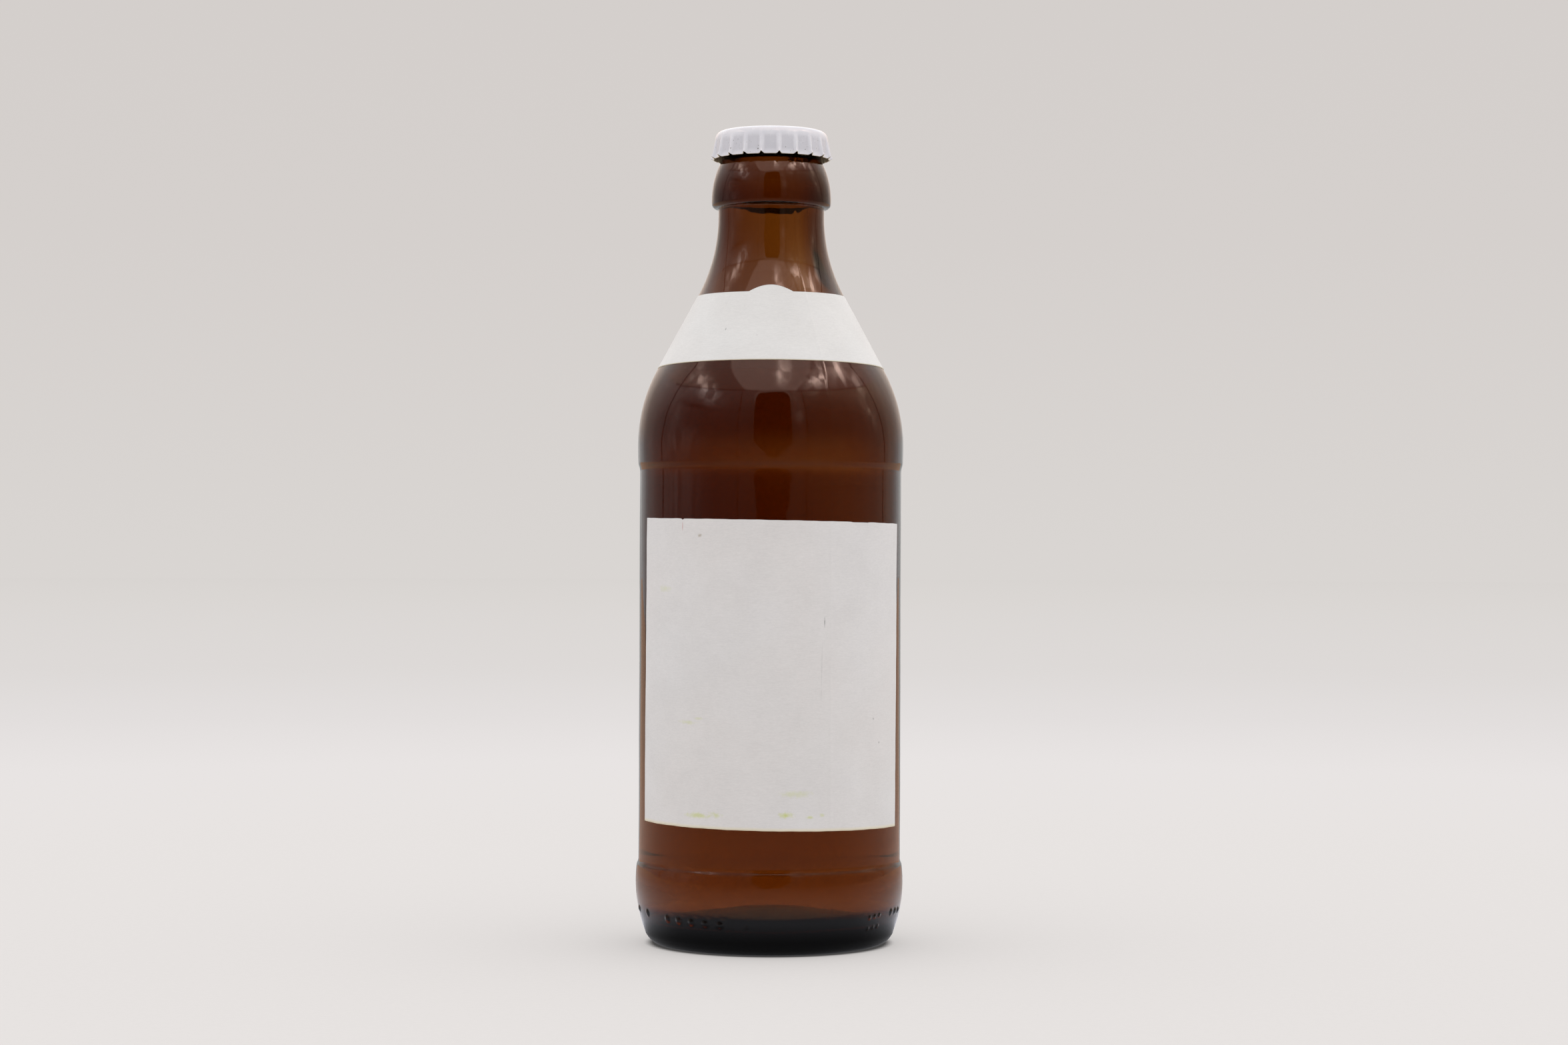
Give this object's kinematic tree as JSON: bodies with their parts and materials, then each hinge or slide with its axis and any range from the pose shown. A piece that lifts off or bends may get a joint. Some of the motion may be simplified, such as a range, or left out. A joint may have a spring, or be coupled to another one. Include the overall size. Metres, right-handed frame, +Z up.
{
  "type": "beer bottle",
  "caption": "Squat brown glass beer bottle, full and sealed with a white fluted crown cork, with a blank main label and a blank neck label.",
  "frame": {"origin": "centre of the foot, on the surface that the bottle stands on", "axes": "+Z up along the bottle's axis, +X to the right as seen from the front, labels facing -Y"},
  "size_m": [0.0634, 0.0634, 0.1928],
  "materials": {
    "amber_glass": "glossy",
    "beer": "clear liquid",
    "white_paint": "glossy",
    "liner": "matte",
    "label_paper": "matte"
  },
  "bodies": {
    "root": {"bottle": "amber_glass", "beer": "beer", "crown_cap": "white_paint", "crown_liner": "liner", "body_label": "label_paper", "neck_label": "label_paper"}
  },
  "joints": []
}
